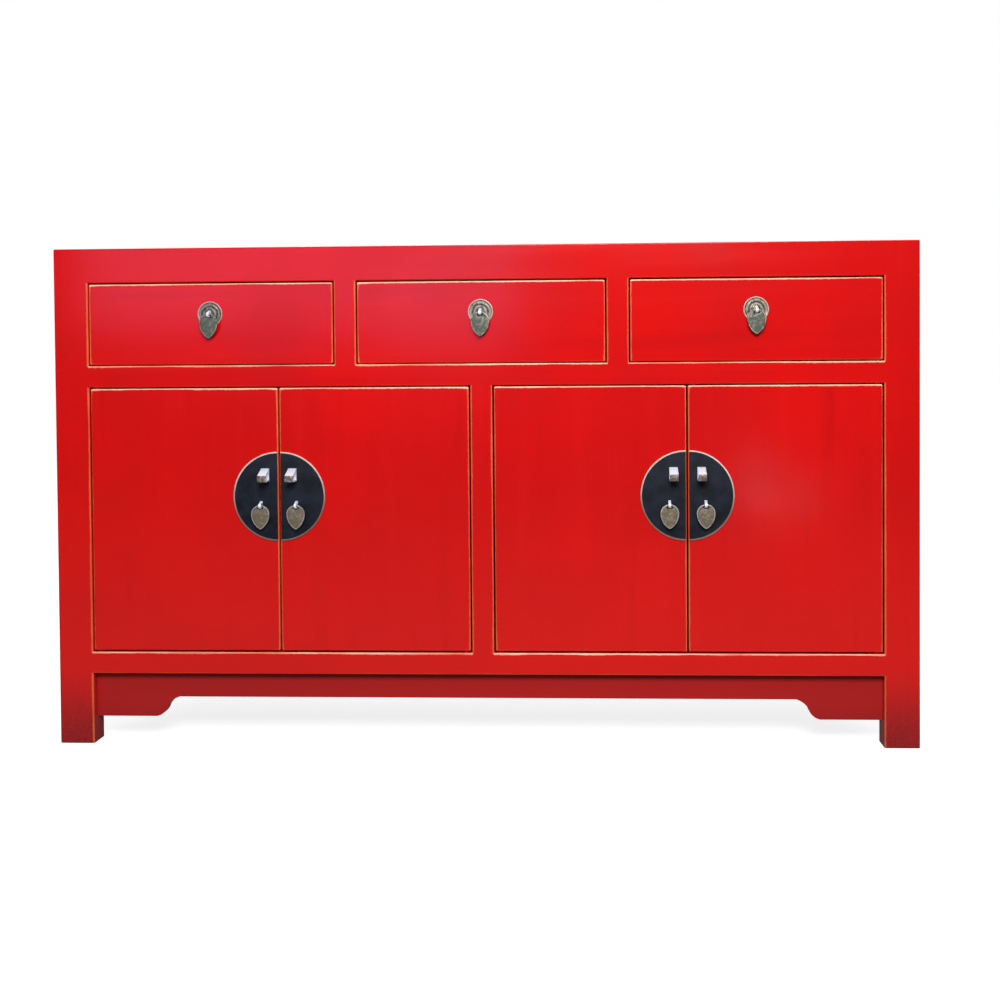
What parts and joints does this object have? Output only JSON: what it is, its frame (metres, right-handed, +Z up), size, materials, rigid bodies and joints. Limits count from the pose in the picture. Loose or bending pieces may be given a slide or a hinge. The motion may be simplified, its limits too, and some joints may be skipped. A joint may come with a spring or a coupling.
{
  "type": "sideboard",
  "caption": "Red lacquered East Asian sideboard: a post-and-rail carcass with inset drawers over paired doors that meet under round split lock plates with hanging leaf pulls.",
  "frame": {"origin": "on the floor under the middle of the whole object's box, the fittings on the front included", "axes": "+X to the right seen from the front, +Y from the front to the wall, +Z up"},
  "size_m": [1.5, 0.426, 0.87],
  "materials": {
    "red_lacquer": "satin red lacquer, rubbed through to pale ground along the edges",
    "inner_wood": "unfinished softwood, darkened by age",
    "drawer_wood": "plain planed softwood",
    "black_plate": "blue-black patina with a bright rim",
    "bright_nickel": "polished white brass, handled bright",
    "aged_nickel": "greyish white brass with brown patina",
    "aged_brass": "aged yellow brass with dark patina"
  },
  "bodies": {
    "cabinet": {"post_front_left": "red_lacquer", "post_front_right": "red_lacquer", "post_back_left": "red_lacquer", "post_back_right": "red_lacquer", "top_rail_front": "red_lacquer", "mid_rail_front": "red_lacquer", "bottom_rail_front": "red_lacquer", "back_rails": "red_lacquer", "side_rails": "red_lacquer", "front_stiles": "red_lacquer", "top_panel": "red_lacquer", "side_panels": "red_lacquer", "apron_front": "red_lacquer", "side_aprons": "red_lacquer", "back_panel": "inner_wood", "floor_board": "inner_wood", "dust_board": "inner_wood", "top_battens": "inner_wood", "partitions": "inner_wood", "drawer_guides": "inner_wood", "shelves": "inner_wood", "shelf_cleats": "inner_wood"},
    "drawer_left": {"drawer_left_front": "red_lacquer", "drawer_left_box": "drawer_wood", "drawer_left_bottom": "drawer_wood", "drawer_left_rosette": "aged_brass", "drawer_left_pull_eye": "aged_brass"},
    "drawer_left_pull": {"drawer_left_pull_leaf": "aged_brass"},
    "drawer_middle": {"drawer_middle_front": "red_lacquer", "drawer_middle_box": "drawer_wood", "drawer_middle_bottom": "drawer_wood", "drawer_middle_rosette": "aged_brass", "drawer_middle_pull_eye": "aged_brass"},
    "drawer_middle_pull": {"drawer_middle_pull_leaf": "aged_brass"},
    "drawer_right": {"drawer_right_front": "red_lacquer", "drawer_right_box": "drawer_wood", "drawer_right_bottom": "drawer_wood", "drawer_right_rosette": "aged_brass", "drawer_right_pull_eye": "aged_brass"},
    "drawer_right_pull": {"drawer_right_pull_leaf": "aged_brass"},
    "door_far_left": {"door_far_left_panel": "red_lacquer", "door_far_left_lock_plate": "black_plate", "door_far_left_staple": "bright_nickel", "door_far_left_pull_eye": "bright_nickel"},
    "door_far_left_pull": {"door_far_left_pull_leaf": "aged_nickel"},
    "door_mid_left": {"door_mid_left_panel": "red_lacquer", "door_mid_left_lock_plate": "black_plate", "door_mid_left_staple": "bright_nickel", "door_mid_left_pull_eye": "bright_nickel"},
    "door_mid_left_pull": {"door_mid_left_pull_leaf": "aged_nickel"},
    "door_mid_right": {"door_mid_right_panel": "red_lacquer", "door_mid_right_lock_plate": "black_plate", "door_mid_right_staple": "bright_nickel", "door_mid_right_pull_eye": "bright_nickel"},
    "door_mid_right_pull": {"door_mid_right_pull_leaf": "aged_nickel"},
    "door_far_right": {"door_far_right_panel": "red_lacquer", "door_far_right_lock_plate": "black_plate", "door_far_right_staple": "bright_nickel", "door_far_right_pull_eye": "bright_nickel"},
    "door_far_right_pull": {"door_far_right_pull_leaf": "aged_nickel"}
  },
  "joints": [
    {"name": "drawer_left_slide", "type": "slide", "parent": "cabinet", "child": "drawer_left", "axis": [0, -1, 0], "range_m": [0, 0.28]},
    {"name": "drawer_left_pull_swing", "type": "hinge", "parent": "drawer_left", "child": "drawer_left_pull", "pos_m": [-0.47267, -0.197, 0.7525], "axis": [-1, 0, 0], "range_deg": [-8, 120]},
    {"name": "drawer_middle_slide", "type": "slide", "parent": "cabinet", "child": "drawer_middle", "axis": [0, -1, 0], "range_m": [0, 0.28]},
    {"name": "drawer_middle_pull_swing", "type": "hinge", "parent": "drawer_middle", "child": "drawer_middle_pull", "pos_m": [0, -0.197, 0.7525], "axis": [-1, 0, 0], "range_deg": [-8, 120]},
    {"name": "drawer_right_slide", "type": "slide", "parent": "cabinet", "child": "drawer_right", "axis": [0, -1, 0], "range_m": [0, 0.28]},
    {"name": "drawer_right_pull_swing", "type": "hinge", "parent": "drawer_right", "child": "drawer_right_pull", "pos_m": [0.47267, -0.197, 0.7525], "axis": [-1, 0, 0], "range_deg": [-8, 120]},
    {"name": "door_far_left_hinge", "type": "hinge", "parent": "cabinet", "child": "door_far_left", "pos_m": [-0.6784, -0.178, 0.4], "axis": [0, 0, -1], "range_deg": [0, 100]},
    {"name": "door_far_left_pull_swing", "type": "hinge", "parent": "door_far_left", "child": "door_far_left_pull", "pos_m": [-0.3855, -0.197, 0.42], "axis": [-1, 0, 0], "range_deg": [-8, 120]},
    {"name": "door_mid_left_hinge", "type": "hinge", "parent": "cabinet", "child": "door_mid_left", "pos_m": [-0.0306, -0.178, 0.4], "axis": [0, 0, 1], "range_deg": [0, 80]},
    {"name": "door_mid_left_pull_swing", "type": "hinge", "parent": "door_mid_left", "child": "door_mid_left_pull", "pos_m": [-0.3235, -0.197, 0.42], "axis": [-1, 0, 0], "range_deg": [-8, 120]},
    {"name": "door_mid_right_hinge", "type": "hinge", "parent": "cabinet", "child": "door_mid_right", "pos_m": [0.0306, -0.178, 0.4], "axis": [0, 0, -1], "range_deg": [0, 80]},
    {"name": "door_mid_right_pull_swing", "type": "hinge", "parent": "door_mid_right", "child": "door_mid_right_pull", "pos_m": [0.3235, -0.197, 0.42], "axis": [-1, 0, 0], "range_deg": [-8, 120]},
    {"name": "door_far_right_hinge", "type": "hinge", "parent": "cabinet", "child": "door_far_right", "pos_m": [0.6784, -0.178, 0.4], "axis": [0, 0, 1], "range_deg": [0, 100]},
    {"name": "door_far_right_pull_swing", "type": "hinge", "parent": "door_far_right", "child": "door_far_right_pull", "pos_m": [0.3855, -0.197, 0.42], "axis": [-1, 0, 0], "range_deg": [-8, 120]}
  ]
}
